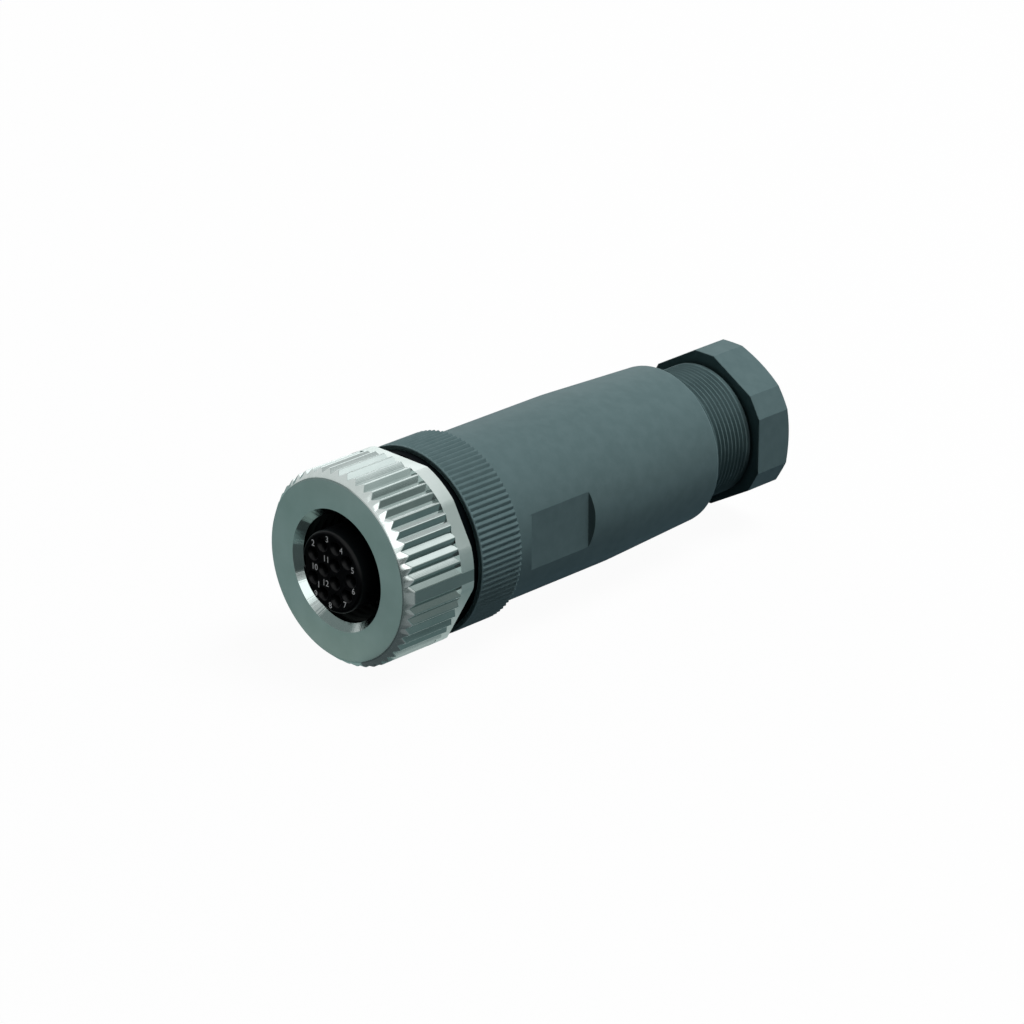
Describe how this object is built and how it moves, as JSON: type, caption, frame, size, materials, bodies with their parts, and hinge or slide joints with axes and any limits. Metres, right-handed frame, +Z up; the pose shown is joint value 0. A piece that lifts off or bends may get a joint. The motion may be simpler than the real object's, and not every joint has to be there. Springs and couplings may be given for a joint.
{
  "type": "m12 connector",
  "caption": "Straight circular socket connector with a knurled metal coupling nut, grey tapered housing and a hexagon cable gland screw.",
  "frame": {"origin": "on the connector's axis, level with the front face of the coupling nut, inside the mating spigot", "axes": "-Y out of the mating face, +Y towards the cable, +Z up, +X towards a wrench flat"},
  "size_m": [0.02, 0.057, 0.02],
  "materials": {
    "nickel_nut": "nickel plated, turned",
    "grey_housing": "moulded, satin",
    "grey_gland": "moulded, satin",
    "black_insert": "moulded, satin",
    "cage_plastic": "moulded",
    "seal_rubber": "moulded rubber",
    "spring_steel": "rolled",
    "contact_gold": "gold plated"
  },
  "bodies": {
    "housing": {"contact_insert": "black_insert", "insert_carrier": "black_insert", "contact_retainer": "black_insert", "socket_contact_01": "contact_gold", "socket_contact_02": "contact_gold", "socket_contact_03": "contact_gold", "socket_contact_04": "contact_gold", "socket_contact_05": "contact_gold", "socket_contact_06": "contact_gold", "socket_contact_07": "contact_gold", "socket_contact_08": "contact_gold", "socket_contact_09": "contact_gold", "socket_contact_10": "contact_gold", "socket_contact_11": "contact_gold", "socket_contact_12": "contact_gold", "front_body": "grey_housing", "body_seal": "seal_rubber", "face_seal": "seal_rubber", "nut_split_ring": "spring_steel", "housing_sleeve": "grey_housing", "cable_seal": "seal_rubber", "clamp_cage": "cage_plastic"},
    "nut": {"coupling_nut": "nickel_nut"},
    "thrust": {"thrust_ring": "cage_plastic"},
    "gland": {"gland_screw": "grey_gland"}
  },
  "joints": [
    {"name": "nut_spin", "type": "hinge", "parent": "housing", "child": "nut", "pos_m": [0, 0.008, 0], "axis": [0, -1, 0], "continuous": true},
    {"name": "gland_travel", "type": "slide", "parent": "housing", "child": "thrust", "axis": [0, -1, 0], "range_m": [-0.00109, 0.00541]},
    {"name": "gland_turn", "type": "hinge", "parent": "thrust", "child": "gland", "pos_m": [0, 0.045, 0], "axis": [0, -1, 0], "range_deg": [-720, 3600]}
  ],
  "couplings": [
    {"joint": "gland_travel", "follows": "gland_turn", "m_per_rad": 0.000085944}
  ]
}
